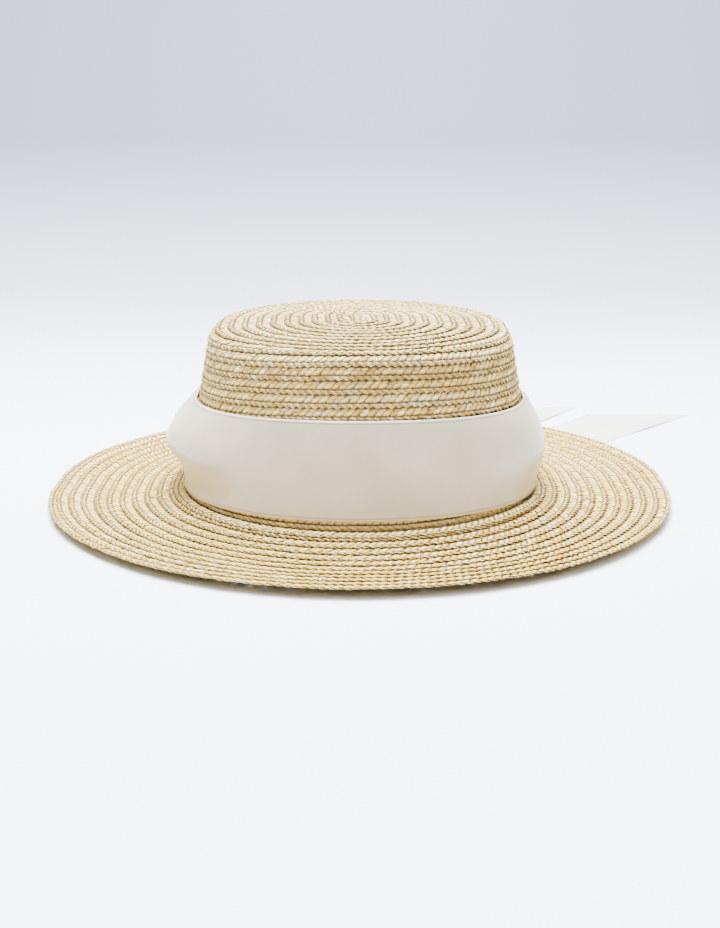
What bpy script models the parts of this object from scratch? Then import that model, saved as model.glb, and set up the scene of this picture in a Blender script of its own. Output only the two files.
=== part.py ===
"""A straw boater hat with a wide ribbon band and two loose ribbon ends, standing on its brim.

Metres, +Z up. The origin lies on the surface that the hat stands on, under the middle of the
head opening. -Y is the front of the hat, +X its right as seen from the front.
"""

import math

import bmesh
import bpy
from mathutils import Vector

# Plan of the hat: every row lies at an even distance from a short line that runs front to back
OVAL_STRETCH = 0.016
CROWN_FOOT_RADIUS = 0.0877
CROWN_TOP_RADIUS = 0.0756
RIM_RADIUS = 0.156
TURN_STEPS = 24

# Heights and walls
CROWN_HEIGHT = 0.0894
TIP_DOME = 0.003
SHOULDER_RADIUS = 0.008
CROWN_WALL = 0.002
BRIM_WALL = 0.0016
GAP = 0.0003

# The brim is slightly dished: it stands on a flat ring, and its foot and its rim lie higher
REST_RADIUS = 0.126
REST_FLAT = 0.006
FOOT_LIFT = 0.0046
FOOT_CURVE = 2.0
RIM_LIFT = 0.0018
RIM_CURVE = 1.2
RIM_NOSE_SHARE = 0.6
BRIM_STEPS = 8

# Rows of sewn plait
ROW_EXPOSED = 0.0062
ROW_RIDGE = 0.0005
ROW_EDGE_SHARE = 0.04

# Ribbon
RIBBON_WIDTH = 0.046
RIBBON_WALL = 0.001
BAND_RAISE = 0.0053
BAND_FOOT_DIP = 0.0031
BAND_TOP_DIP = 0.0048
PUFF_LEFT = 0.0100
PUFF_RIGHT = 0.0060
PUFF_REACH = math.radians(34)
BAND_COLUMNS = 9

# Ribbon puff over the band's height: (share of the height, share of the puff)
PUFF_PROFILE = (
    (0.00, 0.00),
    (0.15, 0.00),
    (0.30, 0.50),
    (0.46, 1.00),
    (0.60, 0.88),
    (0.76, 0.20),
    (0.88, 0.16),
    (1.00, 0.00),
)

# Ribbon ends: far corner of the cut end in rim radii from the middle of the hat, then the strip's
# heading, the cut's heading and the heading of its sewn end on the crown's inner wall, in degrees
RIBBON_ENDS = {
    "ribbon_end_back": {"tip": (0.870, 1.215), "heading_deg": 55.0, "cut_deg": 0.0, "sewn_deg": 65.5},
    "ribbon_end_right": {"tip": (1.300, 1.090), "heading_deg": 49.5, "cut_deg": 4.0, "sewn_deg": 33.0},
}
END_SEWN_HEIGHT = 0.026
END_BEND_RADIUS = 0.0035
END_BEND_STEPS = 4
END_WALL_STEPS = 2
END_FLOOR_STEPS = 4
END_COLUMNS = 4

# The brim is lifted over the ribbon ends: angle past them over which the lift fades out, and the
# share of the brim's width over which it grows
LIFT_MARGIN = math.radians(8)
LIFT_FADE = math.radians(26)
LIFT_GROWTH = 0.22
LIFT_REACH = 0.024
LIFT_SAMPLES = 60

# Steps along the crown's tip and round its shoulder, outside and inside
OUTER_TIP_STEPS = 12
OUTER_SHOULDER_STEPS = 8
INNER_TIP_STEPS = 5
INNER_SHOULDER_STEPS = 4

# Edges that bend less than this are shaded smooth
STRAW_SMOOTH_ANGLE = math.radians(40)
SATIN_SMOOTH_ANGLE = math.radians(60)


def clear_scene():
    for obj in list(bpy.data.objects):
        bpy.data.objects.remove(obj, do_unlink=True)


def material(name, colour, roughness):
    made = bpy.data.materials.new(name)
    made.use_nodes = True
    shader = made.node_tree.nodes["Principled BSDF"]
    shader.inputs["Base Color"].default_value = (*colour, 1.0)
    shader.inputs["Roughness"].default_value = roughness
    shader.inputs["Metallic"].default_value = 0.0
    made.diffuse_color = (*colour, 1.0)
    return made


def smooth_step(share):
    share = min(max(share, 0.0), 1.0)
    return share * share * (3.0 - 2.0 * share)


def read_table(table, share):
    for (low, low_value), (high, high_value) in zip(table, table[1:]):
        if share <= high:
            along = smooth_step((share - low) / (high - low))
            return low_value + (high_value - low_value) * along
    return table[-1][1]


def turn_round_oval(profile, closed):
    """Sweeps a profile of (distance, height) points round the oval plan, as one mesh."""
    mesh = bmesh.new()
    half = OVAL_STRETCH / 2
    points = [mesh.verts.new((distance, half, height)) for distance, height in profile]
    edges = [mesh.edges.new(pair) for pair in zip(points, points[1:])]
    if closed:
        edges.append(mesh.edges.new((points[-1], points[0])))
    section = points + edges
    for centre, slide in ((half, -OVAL_STRETCH), (-half, OVAL_STRETCH)):
        section = bmesh.ops.spin(
            mesh,
            geom=section,
            cent=(0.0, centre, 0.0),
            axis=(0.0, 0.0, 1.0),
            angle=math.pi,
            steps=TURN_STEPS,
        )["geom_last"]
        section_edges = [item for item in section if isinstance(item, bmesh.types.BMEdge)]
        slid = bmesh.ops.extrude_edge_only(mesh, edges=section_edges)["geom"]
        moved = [item for item in slid if isinstance(item, bmesh.types.BMVert)]
        bmesh.ops.translate(mesh, verts=moved, vec=(0.0, slide, 0.0))
        section = [item for item in slid if not isinstance(item, bmesh.types.BMFace)]
    bmesh.ops.remove_doubles(mesh, verts=mesh.verts, dist=1e-6)
    bmesh.ops.dissolve_degenerate(mesh, edges=mesh.edges, dist=1e-7)
    bmesh.ops.recalc_face_normals(mesh, faces=mesh.faces)
    return mesh


def azimuth_and_distance(point):
    """Angle round from +X, and distance from the short line in the middle of the plan."""
    half = OVAL_STRETCH / 2
    past = point.y - min(max(point.y, -half), half)
    return math.atan2(past, point.x), math.hypot(point.x, past)


def tip_height(distance):
    """Height of the domed tip's outer face at a distance from the middle."""
    return CROWN_HEIGHT - TIP_DOME * (distance / (CROWN_TOP_RADIUS - SHOULDER_RADIUS)) ** 2


def brim_under(distance):
    """Height of the brim's underside: nothing on the flat ring, and curving up to both sides."""
    ring_inside = REST_RADIUS - REST_FLAT / 2
    ring_outside = REST_RADIUS + REST_FLAT / 2
    if distance < ring_inside:
        share = (ring_inside - distance) / (ring_inside - CROWN_FOOT_RADIUS)
        return FOOT_LIFT * share**FOOT_CURVE
    if distance > ring_outside:
        share = (distance - ring_outside) / (RIM_RADIUS - ring_outside)
        return RIM_LIFT * share**RIM_CURVE
    return 0.0


def brim_top(distance):
    return BRIM_WALL + brim_under(distance)


def crown_foot_height():
    return brim_top(CROWN_FOOT_RADIUS - CROWN_WALL) + GAP


def side_top_height():
    return CROWN_HEIGHT - TIP_DOME - SHOULDER_RADIUS


def side_slant():
    """Share of a length along the crown's side that goes into height."""
    height = side_top_height() - crown_foot_height()
    return height / math.hypot(height, CROWN_FOOT_RADIUS - CROWN_TOP_RADIUS)


def side_distance(height):
    """Distance of the crown's side from the middle at a height."""
    drop = (side_top_height() - height) / (side_top_height() - crown_foot_height())
    return CROWN_TOP_RADIUS + (CROWN_FOOT_RADIUS - CROWN_TOP_RADIUS) * drop


def crown_line(inset, flat_steps, bend_steps):
    """Smooth line from the tip's middle to the foot, moved in by inset, as (distance, height)."""
    flat = CROWN_TOP_RADIUS - SHOULDER_RADIUS
    radius = SHOULDER_RADIUS - inset
    line = []
    for step in range(flat_steps + 1):
        distance = flat * step / flat_steps
        line.append((distance, tip_height(distance) - inset))
    for step in range(1, bend_steps + 1):
        turn = math.pi / 2 * step / bend_steps
        line.append((flat + radius * math.sin(turn), side_top_height() + radius * math.cos(turn)))
    line.append((CROWN_FOOT_RADIUS - inset, crown_foot_height()))
    return line


def along_line(line, length):
    """Point and outward normal at a length along a line."""
    for (x0, z0), (x1, z1) in zip(line, line[1:]):
        piece = math.hypot(x1 - x0, z1 - z0)
        if length <= piece or (x1, z1) == line[-1]:
            share = length / piece
            direction = ((x1 - x0) / piece, (z1 - z0) / piece)
            point = (x0 + (x1 - x0) * share, z0 + (z1 - z0) * share)
            return point, (-direction[1], direction[0])
        length -= piece
    return line[-1], (0.0, 1.0)


def line_length(line):
    return sum(math.dist(a, b) for a, b in zip(line, line[1:]))


def ridged(line, start_height, end_height):
    """Rows of plait along a line: each starts and ends at its own height over the line."""
    total = line_length(line)
    rows = max(round(total / ROW_EXPOSED), 1)
    points = []
    for row in range(rows):
        for share, height in (
            (ROW_EDGE_SHARE, start_height),
            (1.0 - ROW_EDGE_SHARE, end_height),
        ):
            point, normal = along_line(line, total * (row + share) / rows)
            points.append((point[0] + normal[0] * height, point[1] + normal[1] * height))
    return points


def finish(name, mesh, collection, look, smooth_angle):
    data = bpy.data.meshes.new(name)
    mesh.to_mesh(data)
    mesh.free()
    obj = bpy.data.objects.new(name, data)
    collection.objects.link(obj)
    data.materials.append(look)
    data.shade_smooth()
    data.set_sharp_from_angle(angle=smooth_angle)


def make_crown(collection, look):
    outer = crown_line(0.0, OUTER_TIP_STEPS, OUTER_SHOULDER_STEPS)
    inner = crown_line(CROWN_WALL, INNER_TIP_STEPS, INNER_SHOULDER_STEPS)
    rows = ridged(outer, 0.0, ROW_RIDGE)
    profile = [(0.0, CROWN_HEIGHT), *rows, outer[-1], *reversed(inner)]
    mesh = turn_round_oval(profile, closed=False)
    finish("crown", mesh, collection, look, STRAW_SMOOTH_ANGLE)


def make_brim(collection, look):
    lift_from, lift_to = lifted_angles()
    inner = CROWN_FOOT_RADIUS - CROWN_WALL
    outer_edge = RIM_RADIUS - ROW_RIDGE
    steps = [inner + (outer_edge - inner) * step / BRIM_STEPS for step in range(BRIM_STEPS + 1)]
    top = [(distance, brim_top(distance) - ROW_RIDGE) for distance in steps]
    rows = ridged(top, ROW_RIDGE, 0.0)
    nose = (RIM_RADIUS, brim_under(RIM_RADIUS) + BRIM_WALL * RIM_NOSE_SHARE)
    ring = (REST_RADIUS - REST_FLAT / 2, REST_RADIUS + REST_FLAT / 2)
    inside = [distance for distance in steps if distance < ring[0]]
    outside = [distance for distance in steps if distance > ring[1]]
    under = [(distance, brim_under(distance)) for distance in (*inside, *ring, *outside)]
    mesh = turn_round_oval([top[0], *rows, nose, *reversed(under)], closed=True)
    for vert in mesh.verts:
        azimuth, distance = azimuth_and_distance(vert.co)
        before = smooth_step((azimuth - (lift_from - LIFT_FADE)) / LIFT_FADE)
        after = smooth_step(((lift_to + LIFT_FADE) - azimuth) / LIFT_FADE)
        outward = (distance - CROWN_FOOT_RADIUS) / (RIM_RADIUS - CROWN_FOOT_RADIUS)
        grown = smooth_step(outward / LIFT_GROWTH)
        vert.co.z += (RIBBON_WALL + GAP) * min(before, after) * grown
    finish("brim", mesh, collection, look, STRAW_SMOOTH_ANGLE)


def puff(azimuth):
    """How far the band puffs out at its fullest, at an angle round from +X."""
    right = math.exp(-((azimuth / PUFF_REACH) ** 2))
    left = math.exp(-(((math.pi - abs(azimuth)) / PUFF_REACH) ** 2))
    return PUFF_RIGHT * right + PUFF_LEFT * left


def make_band(collection, look):
    front_foot = brim_top(CROWN_FOOT_RADIUS) + BAND_RAISE
    front_top = front_foot + RIBBON_WIDTH * side_slant()
    column = [RIBBON_WIDTH * step / BAND_COLUMNS for step in range(BAND_COLUMNS + 1)]
    near = CROWN_FOOT_RADIUS + ROW_RIDGE + GAP
    inner = [(near, across) for across in column]
    outer = [(near + RIBBON_WALL, across) for across in reversed(column)]
    mesh = turn_round_oval(inner + outer, closed=True)
    half = OVAL_STRETCH / 2
    for vert in mesh.verts:
        azimuth, distance = azimuth_and_distance(vert.co)
        share = vert.co.z / RIBBON_WIDTH
        sideways = math.cos(azimuth) ** 2
        foot = front_foot - BAND_FOOT_DIP * sideways
        top = front_top - BAND_TOP_DIP * sideways
        z = foot + (top - foot) * share
        stand_off = distance - CROWN_FOOT_RADIUS
        reach = side_distance(z) + stand_off + puff(azimuth) * read_table(PUFF_PROFILE, share)
        centre_y = min(max(vert.co.y, -half), half)
        vert.co = (reach * math.cos(azimuth), centre_y + reach * math.sin(azimuth), z)
    finish("ribbon_band", mesh, collection, look, SATIN_SMOOTH_ANGLE)


def oval_point(azimuth, distance, height):
    """Point in the rear half of the oval plan."""
    return Vector((
        distance * math.cos(azimuth),
        OVAL_STRETCH / 2 + distance * math.sin(azimuth),
        height,
    ))


def ribbon_end_column(end, offset):
    """One line of the strip, offset to the left of its middle, as pairs of (lower, upper) points.

    It comes down the crown's inner wall, bends out under the brim and lies flat to its cut end.
    """
    wall_distance = CROWN_FOOT_RADIUS - CROWN_WALL - GAP
    azimuth = math.radians(end["sewn_deg"]) + offset / wall_distance
    bend_top = END_BEND_RADIUS + RIBBON_WALL
    pairs = []
    for step in range(END_WALL_STEPS):
        height = END_SEWN_HEIGHT + (bend_top - END_SEWN_HEIGHT) * step / END_WALL_STEPS
        reach = side_distance(max(height, crown_foot_height())) - CROWN_WALL - GAP
        pairs.append((
            oval_point(azimuth, reach - RIBBON_WALL, height),
            oval_point(azimuth, reach, height),
        ))
    turn_distance = wall_distance + END_BEND_RADIUS
    for step in range(END_BEND_STEPS + 1):
        turn = math.pi / 2 * step / END_BEND_STEPS
        pair = []
        for radius in (bend_top, END_BEND_RADIUS):
            distance = turn_distance - radius * math.cos(turn)
            pair.append(oval_point(azimuth, distance, bend_top - radius * math.sin(turn)))
        pairs.append(tuple(pair))
    heading = math.radians(end["heading_deg"])
    left = Vector((-math.sin(heading), math.cos(heading), 0.0))
    cut_heading = math.radians(end["cut_deg"])
    cut = -Vector((math.cos(cut_heading), math.sin(cut_heading), 0.0))
    tip = Vector((end["tip"][0], end["tip"][1], 0.0)) * RIM_RADIUS
    from_tip = (offset + RIBBON_WIDTH / 2) / cut.dot(left)
    last = tip + cut * from_tip
    first = pairs[-1][0]
    thick = Vector((0.0, 0.0, RIBBON_WALL))
    for step in range(1, END_FLOOR_STEPS + 1):
        place = first.lerp(last, step / END_FLOOR_STEPS)
        pairs.append((place, place + thick))
    return pairs


def lifted_angles():
    """First and last angle round from +X at which the ribbon ends pass under the low brim."""
    angles = []
    for end in RIBBON_ENDS.values():
        for offset in (-RIBBON_WIDTH / 2, RIBBON_WIDTH / 2):
            column = [lower for lower, upper in ribbon_end_column(end, offset)]
            start = column[-1 - END_FLOOR_STEPS]
            for step in range(LIFT_SAMPLES + 1):
                place = start.lerp(column[-1], step / LIFT_SAMPLES)
                azimuth, distance = azimuth_and_distance(place)
                if abs(distance - REST_RADIUS) < LIFT_REACH:
                    angles.append(azimuth)
    return min(angles) - LIFT_MARGIN, max(angles) + LIFT_MARGIN


def make_ribbon_end(name, end, collection, look):
    offsets = [RIBBON_WIDTH * (step / END_COLUMNS - 0.5) for step in range(END_COLUMNS + 1)]
    columns = [ribbon_end_column(end, offset) for offset in offsets]
    mesh = bmesh.new()
    rings = []
    for station in zip(*columns):
        lower = [pair[0] for pair in station]
        upper = [pair[1] for pair in reversed(station)]
        rings.append([mesh.verts.new(point) for point in lower + upper])
    ring_edges = []
    for ring in rings:
        ring_edges.append([mesh.edges.new(pair) for pair in zip(ring, ring[1:] + ring[:1])])
    for near, far in zip(ring_edges, ring_edges[1:]):
        bmesh.ops.bridge_loops(mesh, edges=near + far)
    for ring in (rings[0], rings[-1]):
        for step in range(END_COLUMNS):
            mesh.faces.new((ring[step], ring[step + 1], ring[-2 - step], ring[-1 - step]))
    bmesh.ops.recalc_face_normals(mesh, faces=mesh.faces)
    finish(name, mesh, collection, look, SATIN_SMOOTH_ANGLE)


def main():
    clear_scene()
    hat = bpy.data.collections.new("straw_boater_hat")
    bpy.context.scene.collection.children.link(hat)
    make_crown(hat, material("crown_straw", (0.66, 0.50, 0.28), 0.55))
    make_brim(hat, material("brim_straw", (0.74, 0.59, 0.36), 0.55))
    make_band(hat, material("band_satin", (0.75, 0.71, 0.62), 0.35))
    for name, end in RIBBON_ENDS.items():
        make_ribbon_end(name, end, hat, material(f"{name}_satin", (0.80, 0.78, 0.72), 0.35))


main()
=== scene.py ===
import math

import bmesh
import bpy
import numpy as np
from mathutils import Matrix, Vector


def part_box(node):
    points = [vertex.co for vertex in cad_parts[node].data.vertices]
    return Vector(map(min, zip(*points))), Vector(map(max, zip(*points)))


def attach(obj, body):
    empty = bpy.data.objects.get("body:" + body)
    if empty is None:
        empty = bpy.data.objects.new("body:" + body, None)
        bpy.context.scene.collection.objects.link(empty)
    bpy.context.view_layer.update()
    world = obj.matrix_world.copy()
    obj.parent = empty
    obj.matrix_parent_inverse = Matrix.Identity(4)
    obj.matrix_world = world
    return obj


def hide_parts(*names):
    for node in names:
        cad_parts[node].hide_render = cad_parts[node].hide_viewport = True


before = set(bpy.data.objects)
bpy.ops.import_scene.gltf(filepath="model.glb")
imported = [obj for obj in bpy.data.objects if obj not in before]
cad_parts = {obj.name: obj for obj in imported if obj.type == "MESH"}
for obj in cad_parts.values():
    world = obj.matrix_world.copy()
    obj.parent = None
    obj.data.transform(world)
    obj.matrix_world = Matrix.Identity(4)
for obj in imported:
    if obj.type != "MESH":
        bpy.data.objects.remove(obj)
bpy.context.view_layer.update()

# The crown
# A long flat plait of five split wheat straws is sewn round and round from the middle of the tip,
# down over the shoulder to the foot. Each row is sewn under the edge of the row before it.

CROWN_PIECES = ("crown_tip_rows", "crown_upper_rows", "crown_lower_rows")
CROWN_SEED = 11
STRAWS_IN_PLAIT = 5
STRIP_WIDTH = 0.008
STRAW_PITCH = 0.0035
STRAW_THICK = 0.00052
STRAW_RISE = 0.00036
ROW_EXPOSED = 0.0062
ROW_TILT = 0.155
ROW_RIDGE = 0.0005
FIRST_ROW = 0.0036
ROUND_MIDDLE = 0.0012
TAIL_TURNS = 1.5
TAIL_TUCK_FROM = 0.5
TAIL_TUCK = 0.5
COURSE_STEPS = 6000
TIP_DOME = 0.003
TIP_STEPS = 60
SHOULDER_RADIUS = 0.008
SHOULDER_STEPS = 24
CROWN_TAPER = 0.0121
SIDE_STEPS = 60
CROWN_SINK = 0.0006

# The rows sit lower at the crown's two sides, between these lengths down from the tip's middle
ROW_SIDE_DIP = 0.0055
DIP_RAMP = (0.015, 0.075)
DIP_FADE = (0.105, 0.146)

# A straw's way up the strip, over (+) and under (-) the others:
# (share of the strip's width, pitches gone along the strip, rise, share of a pitch covered)
CROSSING = (
    (0.11, 0.50, -0.85, 1.10),
    (0.28, 0.88, -0.30, 0.84),
    (0.38, 1.04, 1.00, 1.00),
    (0.50, 1.25, 1.35, 1.12),
    (0.67, 1.54, 1.00, 1.02),
    (0.78, 1.75, -0.25, 0.68),
    (0.86, 2.02, -0.95, 1.10),
    (0.93, 2.27, -0.80, 0.84),
)
FOLD_FILL = 0.42
FOLD_REACH = 0.05
# The folds count as this raised, so that the painted shade of sunk parts leaves them bright
FOLD_SHOWN = 0.90

# A straw's points and faces are listed along this direction, so that their order is always the same
LISTED_ALONG = Vector((1.0, 0.37, 0.11))

# Spreads of each crossing's slide along the plait, fullness and width, and of the row's wavering,
# as (length of a wave, its height)
SLIDE_SPREAD = 0.00026
SWELL_SPREAD = 0.16
REACH_SPREAD = 0.026
SIDEWAYS_WAVES = ((0.029, 5e-5), (0.071, 8e-5), (0.133, 8e-5))
UPWARD_WAVES = ((0.019, 3e-5), (0.047, 4e-5), (0.088, 4e-5))

# A new straw is spliced in every few crossings, with a tone and a whiteness of its own, as
# (middle, spread). Both also drift along the plait, and white straws come in patches.
SPLICE_CROSSINGS = (7, 14)
STRAW_TONE = (0.5, 0.20)
STRAW_WHITENESS = (-0.1, 0.35)
CROSSING_TONE_SPREAD = 0.09
CROSSING_WHITENESS_SPREAD = 0.06
TONE_WAVES = ((0.015, 0.06), (0.052, 0.07), (0.171, 0.08))
PATCH_WAVES = ((0.023, 0.4), (0.041, 0.4), (0.097, 0.3))
PATCH_FROM = 0.45
PATCH_WHITENESS = 0.75

# Painted light: the straw is made paler over the tip, as it catches the light from above, fading
# between these turns, and in the row at the crown's foot, to lift the ribbon's shade there
TIP_PAINTED_LIGHT = 0.2
TIP_TURNS = (9.0, 13.0)
FOOT_PAINTED_LIGHT = 0.6
FOOT_TURNS = 0.5

# Fibre along the straw, its streaky tone and roughness, and the painted shade that darkens the
# straw's edges and sunk parts, as if the gaps and hollows of the plait lay in shade, each as
# (low, high, value at low, value at high)
FIBRE_STRETCH = (120.0, 5.0, 1.0)
FIBRE_DETAIL = 3.0
FIBRE_SEED_STEP = 37.0
FIBRE_SHADE = (0.3, 0.7, 0.84, 1.08)
STRAW_EDGE_SHADE = (0.80, 1.0, 1.0, 0.58)
STRAW_SUNK_SHADE = (0.14, 0.90, 1.0, 0.0)
STRAW_ROUGHNESS = (0.0, 1.0, 0.42, 0.60)
STRAW_RELIEF = {"Strength": 0.35, "Distance": 0.0002}
STRAW_SHINE = {"Specular IOR Level": 0.05}
# The crown's colours are a darker copy of the brim's: painted shade of its upright sides, with a darker
# shade colour for its sunk parts
CROWN_STRAW_SHADED = {
    "Sunk_Shade": (0.085, 0.052, 0.020, 1.0),
    "Deep": (0.45, 0.265, 0.066, 1.0),
    "Pale": (0.80, 0.535, 0.145, 1.0),
    "White": (0.96, 0.80, 0.46, 1.0),
    "Seed": 3.0,
}

# Seen from above, the crown is two half circles with a straight stretch between them at each side
crown_low, crown_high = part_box("crown")
half_stretch = crown_high.y - crown_high.x
foot_radius = crown_high.x - ROW_RIDGE
crown_top = crown_high.z - ROW_RIDGE
side_top = crown_top - TIP_DOME - SHOULDER_RADIUS


def plait_cell():
    """One straw's way up the strip and back down, from under the middle to under the middle."""
    cycle = float(STRAWS_IN_PLAIT)
    up = [(gone, share, rise, fill, 0.0) for share, gone, rise, fill in CROSSING]
    fold_over = [(cycle / 2, 1.0 + FOLD_REACH, 0.0, FOLD_FILL, -90.0)]
    down = [(cycle - gone, share, -rise, fill, -180.0) for share, gone, rise, fill in reversed(CROSSING)]
    fold_back = [(cycle, -FOLD_REACH, 0.0, FOLD_FILL, -270.0)]
    again = [(cycle + gone, share, rise, fill, -360.0) for gone, share, rise, fill, _ in up]
    middle = [share for share, *_ in CROSSING].index(0.5)
    stations = up[middle:] + fold_over + down + fold_back + again[: middle + 1]
    cell = bmesh.new()
    along = cell.verts.layers.float.new("straw_along")
    across = cell.verts.layers.float.new("straw_across")
    raised = cell.verts.layers.float.new("straw_raised")
    ring = [cell.verts.new((aside * STRAW_PITCH, 0.0, above * STRAW_THICK))
            for aside, above in ((-0.5, 0.0), (0.0, 0.5), (0.5, 0.0), (0.0, -0.5))]
    ring[0][across] = -1.0
    ring[2][across] = 1.0
    edges = [cell.edges.new(pair) for pair in zip(ring, ring[1:] + ring[:1])]
    cell.faces.new(ring)
    here = Vector((0.0, 0.0, 0.0))
    facing = 0.0
    filled = 1.0
    highest = max(rise for _, _, rise, _ in CROSSING)
    for gone, share, rise, fill, turn in stations:
        there = Vector((gone * STRAW_PITCH, share * STRIP_WIDTH, rise * STRAW_RISE))
        if here.length > 0.0:
            made = bmesh.ops.extrude_edge_only(cell, edges=edges)["geom"]
            ring = [item for item in made if isinstance(item, bmesh.types.BMVert)]
            edges = [item for item in made if isinstance(item, bmesh.types.BMEdge)]
            edges = [edge for edge in edges if edge.verts[0] in ring and edge.verts[1] in ring]
            for vert in ring:
                vert[along] += (there - here).length
        bmesh.ops.translate(cell, verts=ring, vec=there - here)
        bmesh.ops.scale(cell, verts=ring, vec=(fill / filled, 1.0, 1.0), space=Matrix.Translation(-there))
        spin = Matrix.Rotation(math.radians(turn - facing), 3, "X")
        bmesh.ops.rotate(cell, verts=ring, cent=there, matrix=spin)
        # How raised each point lies, which sets the painted shade of sunk parts
        for vert in ring:
            vert[raised] = abs(rise) / highest if 0.0 < share < 1.0 else FOLD_SHOWN
        here, facing, filled = there, turn, fill
    bmesh.ops.contextual_create(cell, geom=edges)
    bmesh.ops.recalc_face_normals(cell, faces=cell.faces)
    cell.verts.sort(key=lambda vert: vert.co.dot(LISTED_ALONG))
    cell.faces.sort(key=lambda face: face.calc_center_median().dot(LISTED_ALONG))
    data = bpy.data.meshes.new("plait_cell")
    cell.to_mesh(data)
    cell.free()
    return data


def plait_strip(name, cells):
    """A straight strip of plait, as a mesh of so many straw crossings side by side."""
    source = bpy.data.objects.new("plait", plait_cell())
    bpy.context.scene.collection.objects.link(source)
    repeat = source.modifiers.new("repeat", "ARRAY")
    repeat.use_relative_offset = False
    repeat.use_constant_offset = True
    repeat.constant_offset_displace = (STRAW_PITCH, 0.0, 0.0)
    repeat.count = cells
    graph = bpy.context.evaluated_depsgraph_get()
    strip = bpy.data.meshes.new_from_object(source.evaluated_get(graph))
    strip.name = name
    source_data = source.data
    bpy.data.objects.remove(source)
    bpy.data.meshes.remove(source_data)
    return strip


def mesh_points(data):
    """A mesh's points as rows of x, y and z."""
    points = np.empty(len(data.vertices) * 3)
    data.vertices.foreach_get("co", points)
    return points.reshape(-1, 3)


def place_piece(data, look, node):
    """Makes a finished mesh a piece of the hat, in its material and under its own name."""
    data.shade_smooth()
    data.materials.clear()
    data.materials.append(look)
    data.update()
    piece = bpy.data.objects.new(data.name, data)
    bpy.context.scene.collection.objects.link(piece)
    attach(piece, "root")
    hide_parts(node)
    return piece


def smooth_step(value, start, end):
    share = np.clip((value - start) / (end - start), 0.0, 1.0)
    return share * share * (3.0 - 2.0 * share)


def outline_table(points):
    """Length, distance from the middle, height and outward normal along an outline."""
    points = np.array(points)
    length = np.concatenate([[0.0], np.cumsum(np.hypot(*np.diff(points, axis=0).T))])
    slope = np.gradient(points, length, axis=0)
    slope /= np.hypot(*slope.T)[:, None]
    return {"length": length, "distance": points[:, 0], "height": points[:, 1],
            "normal_out": -slope[:, 1], "normal_up": slope[:, 0]}


def read_outline(outline, length, what):
    return np.interp(length, outline["length"], outline[what])


def round_the_oval(turn, distance):
    """Angle from +X, clockwise from above, and the centre that it is measured from."""
    arc = math.pi * distance
    gone = np.mod(turn, 1.0) * (2.0 * arc + 4.0 * half_stretch)
    angle = np.clip((gone - half_stretch) / distance, 0.0, math.pi)
    angle = angle + np.clip((gone - 3.0 * half_stretch - arc) / distance, 0.0, math.pi)
    centre = np.clip(gone, 0.0, half_stretch)
    centre = centre - np.clip(gone - half_stretch - arc, 0.0, 2.0 * half_stretch)
    centre = centre + np.clip(gone - 3.0 * half_stretch - 2.0 * arc, 0.0, half_stretch)
    return -angle, -centre


def walk_course(outline, turns, middle):
    """Length walked along the plait's middle line after each of the turns."""
    distance = np.maximum(read_outline(outline, middle, "distance"), ROUND_MIDDLE)
    round_length = 2.0 * math.pi * distance + 4.0 * half_stretch
    steps = np.diff(turns) * (round_length[1:] + round_length[:-1]) / 2.0
    return np.concatenate([[0.0], np.cumsum(steps)])


def smooth_noise(rng, place, waves):
    """A few sine waves with seeded phases along the plait."""
    total = np.zeros_like(place)
    for wave, size in waves:
        total += size * np.sin(2.0 * math.pi * place / wave + rng.uniform(0.0, 2.0 * math.pi))
    return total


def straw_colours(rng, cells):
    """Tone and whiteness of each crossing along the plait."""
    tone = np.zeros(cells)
    white_and_light = np.zeros(cells)
    for straw in range(STRAWS_IN_PLAIT):
        places = np.arange(straw, cells, STRAWS_IN_PLAIT)
        start = 0
        while start < len(places):
            run = int(rng.integers(*SPLICE_CROSSINGS))
            tone[places[start:start + run]] = rng.normal(*STRAW_TONE)
            white_and_light[places[start:start + run]] = max(rng.normal(*STRAW_WHITENESS), 0.0)
            start += run
    place = np.arange(cells) * STRAW_PITCH
    patches = smooth_noise(rng, place, PATCH_WAVES)
    white_and_light += PATCH_WHITENESS * np.clip(patches - PATCH_FROM, 0.0, 1.0)
    tone += smooth_noise(rng, place, TONE_WAVES)
    tone += rng.normal(0.0, CROSSING_TONE_SPREAD, cells)
    white_and_light += rng.normal(0.0, CROSSING_WHITENESS_SPREAD, cells)
    return np.clip(tone, 0.0, 1.0), np.clip(white_and_light, 0.0, 1.0)


def straw_unevenness(rng, cells):
    """How far each crossing has slid, how full it is and how wide."""
    slide = rng.normal(0.0, SLIDE_SPREAD, cells)
    swell = rng.normal(1.0, SWELL_SPREAD, cells)
    reach = rng.normal(1.0, REACH_SPREAD, cells)
    return slide, swell, reach


def lay_rows(points, start, slide, swell, reach, course, waver_seed):
    """Points of a straight strip of plait, moved to their places in the hat's rows."""
    along = points[:, 0] + start + slide
    across = (points[:, 1] - STRIP_WIDTH / 2) * reach
    above = points[:, 2] * swell
    outline = course["outline"]
    waves = np.random.default_rng(waver_seed)
    turn = np.interp(along, course["walked"], course["turns"])
    middle = np.interp(turn, course["turns"], course["middle"])
    middle = middle + smooth_noise(waves, along, SIDEWAYS_WAVES)
    stacked = np.interp(turn, course["turns"], course["stacked"])
    stacked = stacked + smooth_noise(waves, along, UPWARD_WAVES)
    distance = np.maximum(read_outline(outline, middle, "distance"), ROUND_MIDDLE)
    angle, centre = round_the_oval(turn, distance)
    place = course["place"](middle + across, angle)
    out = read_outline(outline, place, "normal_out")
    up = read_outline(outline, place, "normal_up")
    proud = above + ROW_TILT * across + stacked
    distance = read_outline(outline, place, "distance") + out * proud
    height = read_outline(outline, place, "height") + up * proud + course["lift"](angle, distance)
    distance = distance + course["spread"](angle, distance)
    return np.stack((distance * np.cos(angle), centre + distance * np.sin(angle), height), axis=1)


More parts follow.
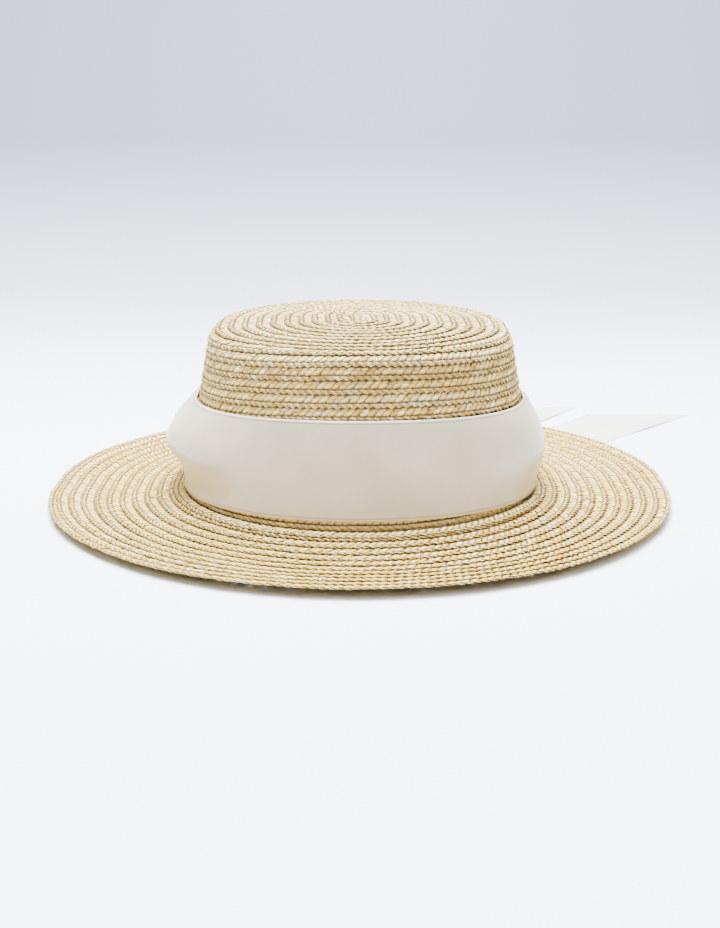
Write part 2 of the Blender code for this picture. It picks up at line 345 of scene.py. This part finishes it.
def sew_plait(names, course, seed, look, node):
    """Bends strips of plait along a course of rows and makes each of them a piece of the hat."""
    rng = np.random.default_rng(seed)
    cells = int((course["walked"][-1] - STRAWS_IN_PLAIT * STRAW_PITCH) / STRAW_PITCH)
    tone, white_and_light = straw_colours(rng, cells)
    cell_turn = np.interp(np.arange(cells) * STRAW_PITCH, course["walked"], course["turns"])
    # The course's painted light is added to the straw's whiteness, so that the straw is painted paler there
    white_and_light = np.clip(white_and_light + course["painted_light"](cell_turn), 0.0, 1.0)
    slide, swell, reach = straw_unevenness(rng, cells)
    waver_seed = rng.integers(1, 1000)
    bounds = [round(cells * share / len(names)) for share in range(len(names) + 1)]
    for name, first, last in zip(names, bounds, bounds[1:]):
        strip = plait_strip(name, last - first)
        points = mesh_points(strip)
        points_in_cell = len(points) // (last - first)
        cell = first + np.arange(len(points)) // points_in_cell
        points = lay_rows(points, first * STRAW_PITCH, slide[cell], swell[cell], reach[cell],
                          course, waver_seed)
        strip.vertices.foreach_set("co", points.ravel())
        for layer, values in (("straw_tone", tone[cell]), ("straw_white_and_light", white_and_light[cell])):
            strip.attributes.new(layer, "FLOAT", "POINT").data.foreach_set("value", values)
        place_piece(strip, look, node)


def add_node(tree, kind, inputs, **settings):
    """A shader node with its settings and inputs, each a value or another node's output."""
    node = tree.nodes.new("ShaderNode" + kind)
    for setting, value in settings.items():
        setattr(node, setting, value)
    for socket, value in inputs.items():
        if isinstance(value, bpy.types.NodeSocket):
            tree.links.new(value, node.inputs[socket])
        else:
            node.inputs[socket].default_value = value
    return node


def maths(tree, operation, *values):
    return add_node(tree, "Math", dict(enumerate(values)), operation=operation).outputs[0]


def mix_colours(tree, factor, first, second):
    return add_node(tree, "Mix", {0: factor, 6: first, 7: second}, data_type="RGBA").outputs[2]


def shade_colour(tree, colour, factor):
    return add_node(tree, "VectorMath", {0: colour, "Scale": factor}, operation="SCALE").outputs[0]


def map_range(tree, value, low, high, at_low=0.0, at_high=1.0, interpolation="LINEAR"):
    """A number that goes from at_low to at_high while the value goes from low to high."""
    inputs = {"Value": value, "From Min": low, "From Max": high, "To Min": at_low, "To Max": at_high}
    return add_node(tree, "MapRange", inputs, interpolation_type=interpolation).outputs[0]


def stretched_noise(tree, place, stretch, detail):
    stretched = add_node(tree, "VectorMath", {0: place, 1: stretch}, operation="MULTIPLY").outputs[0]
    noise = add_node(tree, "TexNoise", {"Vector": stretched, "Scale": 1.0, "Detail": detail})
    return noise.outputs["Fac"]


def new_finish(name, inputs):
    """An empty group with named inputs, and a colour, a roughness and a height as its outputs."""
    group = bpy.data.node_groups.new(name, "ShaderNodeTree")
    for socket, kind in inputs.items():
        group.interface.new_socket(socket, in_out="INPUT", socket_type=kind)
    group.interface.new_socket("Color", in_out="OUTPUT", socket_type="NodeSocketColor")
    group.interface.new_socket("Roughness", in_out="OUTPUT", socket_type="NodeSocketFloat")
    group.interface.new_socket("Height", in_out="OUTPUT", socket_type="NodeSocketFloat")
    return group


def end_finish(group, colour, roughness, height):
    result = group.nodes.new("NodeGroupOutput")
    group.links.new(colour, result.inputs["Color"])
    group.links.new(roughness, result.inputs["Roughness"])
    group.links.new(height, result.inputs["Height"])


def finish_look(name, group, values, relief, shine):
    """A material with its colour, roughness and fine relief from one of the groups."""
    look = bpy.data.materials.new(name)
    look.use_nodes = True
    tree = look.node_tree
    finish = add_node(tree, "Group", values, node_tree=group)
    bump = add_node(tree, "Bump", {"Height": finish.outputs["Height"], **relief})
    shader = tree.nodes["Principled BSDF"]
    for socket, value in shine.items():
        shader.inputs[socket].default_value = value
    tree.links.new(bump.outputs["Normal"], shader.inputs["Normal"])
    tree.links.new(finish.outputs["Color"], shader.inputs["Base Color"])
    tree.links.new(finish.outputs["Roughness"], shader.inputs["Roughness"])
    return look


def split_straw_finish():
    """Split straw from each point's tone, whiteness with painted light, and place, with painted shade at
    its edges and dips.
    """
    colours = {name: "NodeSocketColor" for name in ("Sunk_Shade", "Deep", "Pale", "White")}
    group = new_finish("split_straw", {**colours, "Seed": "NodeSocketFloat"})
    given = group.nodes.new("NodeGroupInput").outputs
    tone, white_and_light, along, across, raised = (
        add_node(group, "Attribute", {}, attribute_name="straw_" + what).outputs["Fac"]
        for what in ("tone", "white_and_light", "along", "across", "raised"))
    seed = maths(group, "MULTIPLY_ADD", tone, FIBRE_SEED_STEP, given["Seed"])
    place = add_node(group, "CombineXYZ", {"X": along, "Y": across, "Z": seed}).outputs[0]
    fibre = stretched_noise(group, place, FIBRE_STRETCH, FIBRE_DETAIL)
    base = mix_colours(group, tone, given["Deep"], given["Pale"])
    bleached_and_lit = mix_colours(group, white_and_light, base, given["White"])
    streak = map_range(group, fibre, *FIBRE_SHADE)
    # Painted shade: each straw is darkened towards its edges, as the gaps between straws would lie in shade
    edge = map_range(group, maths(group, "ABSOLUTE", across), *STRAW_EDGE_SHADE, interpolation="SMOOTHSTEP")
    streaked_and_edge_shaded = shade_colour(group, bleached_and_lit, maths(group, "MULTIPLY", streak, edge))
    # Painted shade: straw that dips under its neighbours is darkened towards a shade colour, as if shaded
    # by them
    sunk_shade = map_range(group, raised, *STRAW_SUNK_SHADE, interpolation="SMOOTHSTEP")
    colour = mix_colours(group, sunk_shade, streaked_and_edge_shaded, given["Sunk_Shade"])
    end_finish(group, colour, map_range(group, fibre, *STRAW_ROUGHNESS), fibre)
    return group


def crown_outline():
    """The crown's outer face from the middle of the tip to the foot."""
    flat = foot_radius - CROWN_TAPER - SHOULDER_RADIUS
    points = []
    for step in range(TIP_STEPS + 1):
        share = step / TIP_STEPS
        points.append((flat * step / TIP_STEPS, crown_top - TIP_DOME * share**2))
    for step in range(1, SHOULDER_STEPS + 1):
        turn = math.pi / 2 * step / SHOULDER_STEPS
        out = flat + SHOULDER_RADIUS * math.sin(turn)
        points.append((out, side_top + SHOULDER_RADIUS * math.cos(turn)))
    for step in range(1, SIDE_STEPS + 1):
        share = step / SIDE_STEPS
        out = flat + SHOULDER_RADIUS + CROWN_TAPER * share
        points.append((out, side_top + (crown_low.z - side_top) * share))
    return outline_table(points)


def crown_place(length, angle):
    """Rows sit lower at the crown's two sides than in front, and close up in the tip's middle."""
    length = 0.5 * (length + np.sqrt(length**2 + ROUND_MIDDLE**2))
    ramp = smooth_step(length, *DIP_RAMP) * (1.0 - smooth_step(length, *DIP_FADE))
    return length + ROW_SIDE_DIP * np.cos(angle) ** 2 * ramp


def as_outlined(angle, distance):
    """No lift and no spread: the crown keeps to its outline."""
    return 0.0


def crown_course(outline):
    """Turns from the middle to the foot, where the last row runs level under the one above it."""
    last_row = outline["length"][-1] - STRIP_WIDTH / 2
    level_from = (last_row - FIRST_ROW) / ROW_EXPOSED
    turns = np.linspace(-TAIL_TURNS, level_from + 1.0, COURSE_STEPS)
    middle = np.clip(FIRST_ROW + ROW_EXPOSED * turns, ROUND_MIDDLE / 2, last_row)
    under_foot = np.clip(turns - level_from, 0.0, 1.0)
    under_tip = np.clip(-TAIL_TUCK_FROM - turns, 0.0, 1.0) * TAIL_TUCK
    stacked = -CROWN_SINK - ROW_TILT * ((under_foot + under_tip) * ROW_EXPOSED)

    def painted_light(turn):
        at_tip = 1.0 - smooth_step(turn, *TIP_TURNS)
        return FOOT_PAINTED_LIGHT * (turn > level_from - FOOT_TURNS) + TIP_PAINTED_LIGHT * at_tip

    return {"outline": outline, "turns": turns, "middle": middle, "stacked": stacked,
            "walked": walk_course(outline, turns, middle), "place": crown_place,
            "lift": as_outlined, "spread": as_outlined, "painted_light": painted_light}


split_straw = split_straw_finish()
crown_straw = finish_look("crown_straw", split_straw, CROWN_STRAW_SHADED, STRAW_RELIEF, STRAW_SHINE)
crown_rows = crown_course(crown_outline())
sew_plait(CROWN_PIECES, crown_rows, CROWN_SEED, crown_straw, "crown")

# The brim
# The same plait goes on outwards from the crown's foot, each row sewn under the edge of the one
# inside it. It is slightly dished, so that it stands on a ring and its rim is clear of the surface.

BRIM_PIECES = ("brim_inner_rows", "brim_middle_rows", "brim_outer_rows")
BRIM_SEED = 23
REST_RADIUS = 0.126
REST_FLAT = 0.006
BRIM_WALL = 0.0016
BRIM_STEPS = 120
FOOT_LIFT = 0.0046
RIM_LIFT = 0.0018
RIM_CURVE = 1.2
BRIM_INSET = 0.002
BRIM_SINK = 0.0003
END_STEP = 0.0012
# The brim's colours are a lighter copy of the crown's: painted light, as it lies open to the light from
# above, with a lighter shade colour for its sunk parts
BRIM_STRAW_LIT = {
    "Sunk_Shade": (0.15, 0.093, 0.034, 1.0),
    "Deep": (0.56, 0.345, 0.085, 1.0),
    "Pale": (0.87, 0.595, 0.152, 1.0),
    "White": (0.95, 0.79, 0.44, 1.0),
    "Seed": 8.0,
}

# Painted light: the straw is made paler in the first ring and for this many turns past it, to lift
# the shade under the ribbon at the crown's foot
RING_PAINTED_LIGHT = 0.2
RING_TURNS = 0.1

# In front the rows are slacker and rise, from this share of the brim's width outwards
FRONT_SPREAD = 0.0055
FRONT_RISE = 0.0016
FRONT_RISE_FROM = 0.4

# It lifts over the ribbon ends between these angles from +X, in full from a share of its width
RIBBON_LIFT = 0.0013
LIFT_ANGLES = (math.radians(6), math.radians(94))
LIFT_FADE = math.radians(26)
LIFT_GROWTH = 0.22

rim_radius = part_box("brim")[1].x


def brim_outline():
    """The brim's upper face from inside the crown's foot to the rim."""
    ring_inside = REST_RADIUS - REST_FLAT / 2
    ring_outside = REST_RADIUS + REST_FLAT / 2
    points = []
    for distance in np.linspace(foot_radius - BRIM_INSET, rim_radius, BRIM_STEPS):
        inside = max(ring_inside - distance, 0.0) / (ring_inside - foot_radius)
        outside = max(distance - ring_outside, 0.0) / (rim_radius - ring_outside)
        points.append((distance, BRIM_WALL + FOOT_LIFT * inside**2 + RIM_LIFT * outside**RIM_CURVE))
    return outline_table(points)


def brim_place(length, angle):
    """The brim's rows are evenly wide all round."""
    return length


def brim_lift(angle, distance):
    """The brim rides up where the two ribbon ends pass under it, and a little at its front."""
    angle = np.mod(angle + math.pi, 2.0 * math.pi) - math.pi
    before = smooth_step(angle, LIFT_ANGLES[0] - LIFT_FADE, LIFT_ANGLES[0])
    after = 1.0 - smooth_step(angle, LIFT_ANGLES[1], LIFT_ANGLES[1] + LIFT_FADE)
    outward = (distance - foot_radius) / (rim_radius - foot_radius)
    ends = RIBBON_LIFT * np.minimum(before, after) * smooth_step(outward, 0.0, LIFT_GROWTH)
    in_front = np.maximum(-np.sin(angle), 0.0)
    return ends + FRONT_RISE * in_front * smooth_step(outward, FRONT_RISE_FROM, 1.0)


def brim_spread(angle, distance):
    """The rows are sewn a little slacker in front, so the rim reaches further there."""
    outward = (distance - foot_radius) / (rim_radius - foot_radius)
    return FRONT_SPREAD * np.maximum(-np.sin(angle), 0.0) ** 2 * np.maximum(outward, 0.0)


def brim_course(outline):
    """Turns from a level ring under the crown's foot to the plait's cut end, at the rim's right."""
    rim_row = outline["length"][-1] - STRIP_WIDTH / 2
    before_last = (rim_row - END_STEP - STRIP_WIDTH / 2) / ROW_EXPOSED
    turns = np.linspace(-before_last - 1.0, 1.0, COURSE_STEPS)
    spiral = np.maximum(rim_row - END_STEP + ROW_EXPOSED * turns, STRIP_WIDTH / 2)
    middle = np.where(turns > 0.0, rim_row - END_STEP * (1.0 - turns), spiral)
    tucked = (ROW_EXPOSED - END_STEP) * np.maximum(turns, 0.0)
    on_top = ROW_EXPOSED * np.maximum(-before_last - turns, 0.0)
    stacked = -BRIM_SINK + ROW_TILT * (on_top - tucked)

    def painted_light(turn):
        return RING_PAINTED_LIGHT * (turn < RING_TURNS - before_last)

    return {"outline": outline, "turns": turns, "middle": middle, "stacked": stacked,
            "walked": walk_course(outline, turns, middle), "place": brim_place,
            "lift": brim_lift, "spread": brim_spread, "painted_light": painted_light}


brim_straw = finish_look("brim_straw", split_straw, BRIM_STRAW_LIT, STRAW_RELIEF, STRAW_SHINE)
brim_rows = brim_course(brim_outline())
sew_plait(BRIM_PIECES, brim_rows, BRIM_SEED, brim_straw, "brim")

# The ribbon band
# A wide ivory satin ribbon goes once round the crown and is lapped and stitched at the back. It
# lies flat in front and puffs out at both sides, more at the left, where it is drawn in at its foot.

RIBBON_WIDTH = 0.046
RIBBON_THICK = 0.0004
BAND_CLEAR = 0.00105
BAND_FOOT = 0.0053
BAND_FOOT_DIP = 0.0031
BAND_TOP_DIP = 0.0048
BAND_COLUMNS = 420
BAND_ROWS = 36
BACK_TURN = 0.75
BAND_LAP = 0.022
LAP_RAMP = 0.01
LAP_THICKNESSES = 1.5

# Slack of the band, in heights of a fold, and its folds:
# (how many go round, lean up the band, phase, share of a fold's height)
FOLD_HEIGHT = 0.0005
BAND_SLACK = 1.2
BAND_FOLDS = ((5.0, 3.0, 1.0, 1.0), (11.0, -5.0, 0.0, 0.6))

# Puff over the band's height: (share of the height, share of the puff at the left, at the right)
PUFF_LEFT = 0.0120
PUFF_RIGHT = 0.0066
PUFF_REACH = math.radians(36)
PUFF_PROFILE = (
    (0.00, 0.00, 0.00),
    (0.10, 0.02, 0.18),
    (0.20, 0.16, 0.46),
    (0.32, 0.48, 0.78),
    (0.46, 0.88, 0.97),
    (0.58, 1.00, 1.00),
    (0.70, 0.86, 0.94),
    (0.82, 0.58, 0.72),
    (0.92, 0.30, 0.42),
    (1.00, 0.00, 0.00),
)
PROFILE_MARGIN = 0.1
PROFILE_STEPS = 481
PROFILE_ROUNDING = 41

# The corded selvedge and the groove beside it, as distances in from the ribbon's edge
SELVEDGE = (0.0011, 0.0008)
# Painted highlight on the corded selvedge, as if it caught the light, and painted shade along the groove
# beside it
SELVEDGE_HIGHLIGHT = 0.32
GROOVE = (0.0019, 0.0015)
GROOVE_SHADE = -0.36

# The satin's fine ribs and soft clouds
RIB_STRETCH = (2600.0, 160.0, 1.0)
RIB_HEIGHT = 0.25
CLOUD_STRETCH = (45.0, 45.0, 45.0)
CLOUD_RANGE = (0.35, 0.70)
SATIN_DETAIL = 2.0
SATIN_ROUGHNESS = (0.0, 1.0, 0.31, 0.40)
SATIN_RELIEF = {"Strength": 0.3, "Distance": 0.0001}
SATIN_SHINE = {"Sheen Weight": 0.15}
# Painted shade: the band is the ends' satin in darker, warmer colours, as its upright sides lie in shade
BAND_SATIN_SHADED = {"Tint": (0.53, 0.445, 0.315, 1.0), "Shade": (0.46, 0.38, 0.25, 1.0)}

brim_at_foot = BRIM_WALL + FOOT_LIFT
puff_heights, puff_left_shares, puff_right_shares = zip(*PUFF_PROFILE)


def ribbon_sheet(name, length, columns, rows):
    """A flat ribbon from (0, 0) to (length, width), with its places kept as a UV map in metres."""
    mesh = bmesh.new()
    bmesh.ops.create_grid(mesh, x_segments=columns, y_segments=rows, size=0.5)
    bmesh.ops.translate(mesh, verts=mesh.verts, vec=(0.5, 0.5, 0.0))
    bmesh.ops.scale(mesh, verts=mesh.verts, vec=(length, RIBBON_WIDTH, 1.0))
    places = mesh.loops.layers.uv.new("ribbon")
    for face in mesh.faces:
        for loop in face.loops:
            loop[places].uv = loop.vert.co.xy
    data = bpy.data.meshes.new(name)
    mesh.to_mesh(data)
    mesh.free()
    return data


def puff_share(share, side_shares):
    """One side's puff over the band's height, as a smooth curve through the table."""
    fine = np.linspace(-PROFILE_MARGIN, 1.0 + PROFILE_MARGIN, PROFILE_STEPS)
    values = np.interp(fine, puff_heights, side_shares)
    kernel = np.hanning(PROFILE_ROUNDING)
    values = np.convolve(values, kernel / kernel.sum(), mode="same")
    return np.interp(share, fine, values)


def crown_side_distance(height):
    drop = (side_top - height) / (side_top - crown_low.z)
    return foot_radius - CROWN_TAPER + CROWN_TAPER * drop


def band_places(along, across):
    """Where the band's points lie, from its sewn end at the back round to the lap over it."""
    share = across / RIBBON_WIDTH
    angle, centre = round_the_oval(BACK_TURN + along / band_round, band_distance)
    sideways = np.cos(angle) ** 2
    side_rise = side_top - crown_low.z
    side_slant = side_rise / math.hypot(side_rise, CROWN_TAPER)
    foot = brim_at_foot + BAND_FOOT - BAND_FOOT_DIP * sideways
    top = brim_at_foot + BAND_FOOT + RIBBON_WIDTH * side_slant - BAND_TOP_DIP * sideways
    height = foot + (top - foot) * share
    from_right = np.abs(np.mod(angle + math.pi, 2.0 * math.pi) - math.pi)
    from_left = math.pi - from_right
    puff = PUFF_RIGHT * np.exp(-((from_right / PUFF_REACH) ** 2)) * puff_share(share, puff_right_shares)
    puff += PUFF_LEFT * np.exp(-((from_left / PUFF_REACH) ** 2)) * puff_share(share, puff_left_shares)
    slack = np.sin(math.pi * share) ** 2
    folds = sum(size * np.sin(count * angle + lean * share + phase)
                for count, lean, phase, size in BAND_FOLDS)
    puff += FOLD_HEIGHT * (BAND_SLACK + folds) * slack
    lap_start = band_length - BAND_LAP
    lap = RIBBON_THICK * LAP_THICKNESSES * smooth_step(along, lap_start - LAP_RAMP, lap_start)
    reach = crown_side_distance(height) + BAND_CLEAR + puff + lap
    return reach * np.cos(angle), centre + reach * np.sin(angle), height


def satin_finish():
    """Ivory satin: a fine rib across the ribbon, soft clouding, and a corded edge with a painted highlight
    and painted shade beside it.
    """
    group = new_finish("satin_ribbon", {"Tint": "NodeSocketColor", "Shade": "NodeSocketColor"})
    given = group.nodes.new("NodeGroupInput").outputs
    places = add_node(group, "UVMap", {}, uv_map="ribbon").outputs[0]
    across = add_node(group, "SeparateXYZ", {0: places}).outputs["Y"]
    aside = maths(group, "ABSOLUTE", maths(group, "SUBTRACT", across, RIBBON_WIDTH / 2))
    selvedge, groove = (
        map_range(group, aside, *(RIBBON_WIDTH / 2 - inset for inset in insets), interpolation="SMOOTHSTEP")
        for insets in (SELVEDGE, GROOVE))
    weft = stretched_noise(group, places, RIB_STRETCH, SATIN_DETAIL)
    cloud = stretched_noise(group, places, CLOUD_STRETCH, SATIN_DETAIL)
    body = mix_colours(group, map_range(group, cloud, *CLOUD_RANGE), given["Tint"], given["Shade"])
    # Painted highlight on the selvedge and painted shade along the groove beside it
    paler = maths(group, "MULTIPLY_ADD", selvedge, SELVEDGE_HIGHLIGHT, 1.0)
    line = maths(group, "SUBTRACT", groove, selvedge)
    edge_light_and_shade = maths(group, "MULTIPLY_ADD", line, GROOVE_SHADE, paler)
    height = maths(group, "MULTIPLY_ADD", weft, RIB_HEIGHT, selvedge)
    end_finish(group, shade_colour(group, body, edge_light_and_shade), map_range(group, weft, *SATIN_ROUGHNESS), height)
    return group


def hang_ribbon(data, places, look, node):
    """Puts a ribbon's points in place, makes it a piece and gives it its thickness."""
    data.vertices.foreach_set("co", np.stack(places, axis=1).ravel())
    piece = place_piece(data, look, node)
    wall = piece.modifiers.new("thickness", "SOLIDIFY")
    wall.thickness = RIBBON_THICK
    wall.offset = 0.0
    return piece


band_distance = (foot_radius + crown_side_distance(BAND_FOOT + RIBBON_WIDTH)) / 2 + BAND_CLEAR
band_round = 2.0 * math.pi * band_distance + 4.0 * half_stretch
band_length = band_round + BAND_LAP
band_data = ribbon_sheet("ribbon_band_satin", band_length, BAND_COLUMNS, BAND_ROWS)
band_points = mesh_points(band_data)
satin_ribbon = satin_finish()
band_satin = finish_look("band_satin", satin_ribbon, BAND_SATIN_SHADED, SATIN_RELIEF, SATIN_SHINE)
band = hang_ribbon(band_data, band_places(band_points[:, 0], band_points[:, 1]),
                   band_satin, "ribbon_band")

# The ribbon ends
# Two ends of the same ribbon are sewn inside the crown at the right rear. They come down its inner
# wall, bend out under the brim and lie flat on the surface, each cut on a slant.

# The middle of each cut as shares of the rim's radius, where the end points, how its cut runs and
# where it is sewn, all as angles from +X
RIBBON_ENDS = {
    "ribbon_end_back": {"tip": (0.870, 1.215), "heading_deg": 55.0, "cut_deg": 0.0, "sewn_deg": 65.5},
    "ribbon_end_right": {"tip": (1.300, 1.090), "heading_deg": 49.5, "cut_deg": 4.0, "sewn_deg": 33.0},
}
CROWN_WALL = 0.002
END_CLEAR = 0.0008
END_SEWN_HEIGHT = 0.026
END_BEND_RADIUS = 0.0035
END_COLUMNS = 110
END_ROWS = 24
RIPPLE_HEIGHT = 0.00035
RIPPLES = 2.3
RIPPLE_LEAN = 9.0
RIPPLE_START = (0.5, 0.75)
# Painted light: the ends are the band's satin in lighter colours, as they lie flat and lit on the surface
END_SATIN_LIT = {"Tint": (0.68, 0.72, 0.59, 1.0), "Shade": (0.64, 0.67, 0.54, 1.0)}


def end_places(end, share, offset):
    """Points of a ribbon end at a share of its way out and an offset to the left of its middle."""
    wall_distance = foot_radius - CROWN_WALL - END_CLEAR
    angle = math.radians(end["sewn_deg"]) + offset / wall_distance
    drop = END_SEWN_HEIGHT - END_BEND_RADIUS
    bend = math.pi / 2 * END_BEND_RADIUS
    heading = math.radians(end["heading_deg"])
    left = Vector((-math.sin(heading), math.cos(heading)))
    cut_heading = math.radians(end["cut_deg"])
    cut = -Vector((math.cos(cut_heading), math.sin(cut_heading)))
    from_tip = (offset + RIBBON_WIDTH / 2) / cut.dot(left)
    last_x = end["tip"][0] * rim_radius + cut.x * from_tip
    last_y = end["tip"][1] * rim_radius + cut.y * from_tip
    turn_distance = wall_distance + END_BEND_RADIUS
    first_x = turn_distance * np.cos(angle)
    first_y = half_stretch + turn_distance * np.sin(angle)
    lying = np.hypot(last_x - first_x, last_y - first_y)
    walked = share * (drop + bend + lying)
    turn = np.clip((walked - drop) / END_BEND_RADIUS, 0.0, math.pi / 2)
    height = END_SEWN_HEIGHT - np.minimum(walked, drop) - END_BEND_RADIUS * np.sin(turn)
    on_wall = np.minimum(crown_side_distance(np.maximum(height, crown_low.z)) - foot_radius, 0.0)
    distance = wall_distance + on_wall + END_BEND_RADIUS * (1.0 - np.cos(turn))
    out = np.clip((walked - drop - bend) / lying, 0.0, 1.0)
    x = distance * np.cos(angle) + (last_x - first_x) * out
    y = half_stretch + distance * np.sin(angle) + (last_y - first_y) * out
    wave = 1.0 - np.cos(2.0 * math.pi * (RIPPLES * out + RIPPLE_LEAN * offset))
    ripple = RIPPLE_HEIGHT * wave * smooth_step(out, *RIPPLE_START)
    return x, y, height + RIBBON_THICK / 2 + ripple


end_satin = finish_look("end_satin", satin_ribbon, END_SATIN_LIT, SATIN_RELIEF, SATIN_SHINE)
for node, end in RIBBON_ENDS.items():
    tip = Vector(end["tip"]) * rim_radius
    end_length = END_SEWN_HEIGHT + tip.length - foot_radius
    end_data = ribbon_sheet(node + "_satin", end_length, END_COLUMNS, END_ROWS)
    end_points = mesh_points(end_data)
    places = end_places(end, end_points[:, 0] / end_length, end_points[:, 1] - RIBBON_WIDTH / 2)
    piece = hang_ribbon(end_data, places, end_satin, node)

# The floor
# A pale sheet of paper lies under the hat, runs back and curves up behind it. Its colour is
# graded from palest near the hat to a greyer back: painted shade of the light falling off.

FLOOR_REACH = 3.0
SWEEP_RADIUS = 1.2
SWEEP_STEPS = 24
PAPER_NEAR = (0.72, 0.76, 0.85, 1.0)
PAPER_FAR_SHADED = (0.345, 0.368, 0.415, 1.0)
PAPER_ROUGHNESS = 0.7
GRADE_START = 0.05
GRADE_END = 0.72


def floor_sheet():
    """A line swept from front to back, up through a quarter circle, and then drawn out sideways."""
    mesh = bmesh.new()
    start = mesh.verts.new((-FLOOR_REACH, -FLOOR_REACH, 0.0))
    end = mesh.verts.new((-FLOOR_REACH, FLOOR_REACH, 0.0))
    mesh.edges.new((start, end))
    swept = bmesh.ops.spin(mesh, geom=[end], cent=(0.0, FLOOR_REACH, SWEEP_RADIUS),
                           axis=(1.0, 0.0, 0.0), angle=math.pi / 2, steps=SWEEP_STEPS)
    top = [item for item in swept["geom_last"] if isinstance(item, bmesh.types.BMVert)]
    raised = bmesh.ops.extrude_vert_indiv(mesh, verts=top)
    bmesh.ops.translate(mesh, verts=raised["verts"], vec=(0.0, 0.0, FLOOR_REACH))
    wide = bmesh.ops.extrude_edge_only(mesh, edges=mesh.edges[:])["geom"]
    moved = [item for item in wide if isinstance(item, bmesh.types.BMVert)]
    bmesh.ops.translate(mesh, verts=moved, vec=(2.0 * FLOOR_REACH, 0.0, 0.0))
    bmesh.ops.recalc_face_normals(mesh, faces=mesh.faces)
    data = bpy.data.meshes.new("floor")
    mesh.to_mesh(data)
    mesh.free()
    data.shade_smooth()
    return data


def pale_paper():
    look = bpy.data.materials.new("pale_paper")
    look.use_nodes = True
    tree = look.node_tree
    places = add_node(tree, "TexCoord", {}).outputs["Object"]
    backward = add_node(tree, "SeparateXYZ", {0: places}).outputs["Y"]
    # Painted shade: the paper darkens from near the hat to the back, as the light falls off away from the
    # hat
    falloff_shade = map_range(tree, backward, GRADE_START, GRADE_END, interpolation="SMOOTHSTEP")
    shader = tree.nodes["Principled BSDF"]
    shader.inputs["Roughness"].default_value = PAPER_ROUGHNESS
    tree.links.new(mix_colours(tree, falloff_shade, PAPER_NEAR, PAPER_FAR_SHADED), shader.inputs["Base Color"])
    return look


floor_data = floor_sheet()
floor_data.materials.append(pale_paper())
floor = bpy.data.objects.new("floor", floor_data)
bpy.context.scene.collection.objects.link(floor)

# The light
# One large soft light hangs above and a little behind, with a weak one in front and one on the
# sheet behind the hat. The room is pale, and brightest overhead.

LAMP_COLOUR = (0.90, 0.96, 1.0)
LAMPS = {
    "key_light": {"size": 1.2, "watts": 246.0, "place": (-0.10, 0.26, 1.42), "aim": (0.0, 0.0, 0.02)},
    "front_light": {"size": 0.8, "watts": 18.0, "place": (0.25, -0.8, 1.4), "aim": (0.0, 0.0, 0.05)},
    "backdrop_light": {"size": 2.0, "watts": 340.0, "place": (0.0, 2.2, 2.7), "aim": (0.0, 4.3, 0.6)},
}
ROOM_COLOUR = (0.90, 0.95, 1.0, 1.0)
HORIZON_STRENGTH = 0.12
OVERHEAD_STRENGTH = 1.0

for name, lamp in LAMPS.items():
    light = bpy.data.lights.new(name, "AREA")
    light.color = LAMP_COLOUR
    light.shape = "SQUARE"
    light.size = lamp["size"]
    light.energy = lamp["watts"]
    holder = bpy.data.objects.new(name, light)
    holder.location = lamp["place"]
    beam = Vector(lamp["aim"]) - Vector(lamp["place"])
    holder.rotation_euler = beam.to_track_quat("-Z", "Y").to_euler()
    bpy.context.scene.collection.objects.link(holder)

room = bpy.data.worlds.new("pale_room")
room.use_nodes = True
direction = add_node(room.node_tree, "TexCoord", {}).outputs["Generated"]
upward = add_node(room.node_tree, "SeparateXYZ", {0: direction}).outputs["Z"]
brightness = map_range(room.node_tree, upward, 0.0, 1.0, HORIZON_STRENGTH, OVERHEAD_STRENGTH)
background = room.node_tree.nodes["Background"]
background.inputs["Color"].default_value = ROOM_COLOUR
room.node_tree.links.new(brightness, background.inputs["Strength"])
bpy.context.scene.world = room

# The camera
# It stands low in front of the hat and looks a little down, so that the crown's tip and the whole
# brim show.

CAMERA_DISTANCE = 0.792
CAMERA_HEIGHT = 0.2218
CAMERA_DOWN = 0.257
LENS_PIXELS = 1600.0
FRAME_HEIGHT_PIXELS = 928.0
SENSOR_WIDTH = 36.0

view = bpy.data.cameras.new("camera")
view.sensor_width = SENSOR_WIDTH
view.lens = LENS_PIXELS / FRAME_HEIGHT_PIXELS * SENSOR_WIDTH
camera = bpy.data.objects.new("camera", view)
camera.location = (0.0, -CAMERA_DISTANCE, CAMERA_HEIGHT)
camera.rotation_euler = (math.pi / 2 - CAMERA_DOWN, 0.0, 0.0)
bpy.context.scene.collection.objects.link(camera)
bpy.context.scene.camera = camera

bpy.context.view_layer.update()
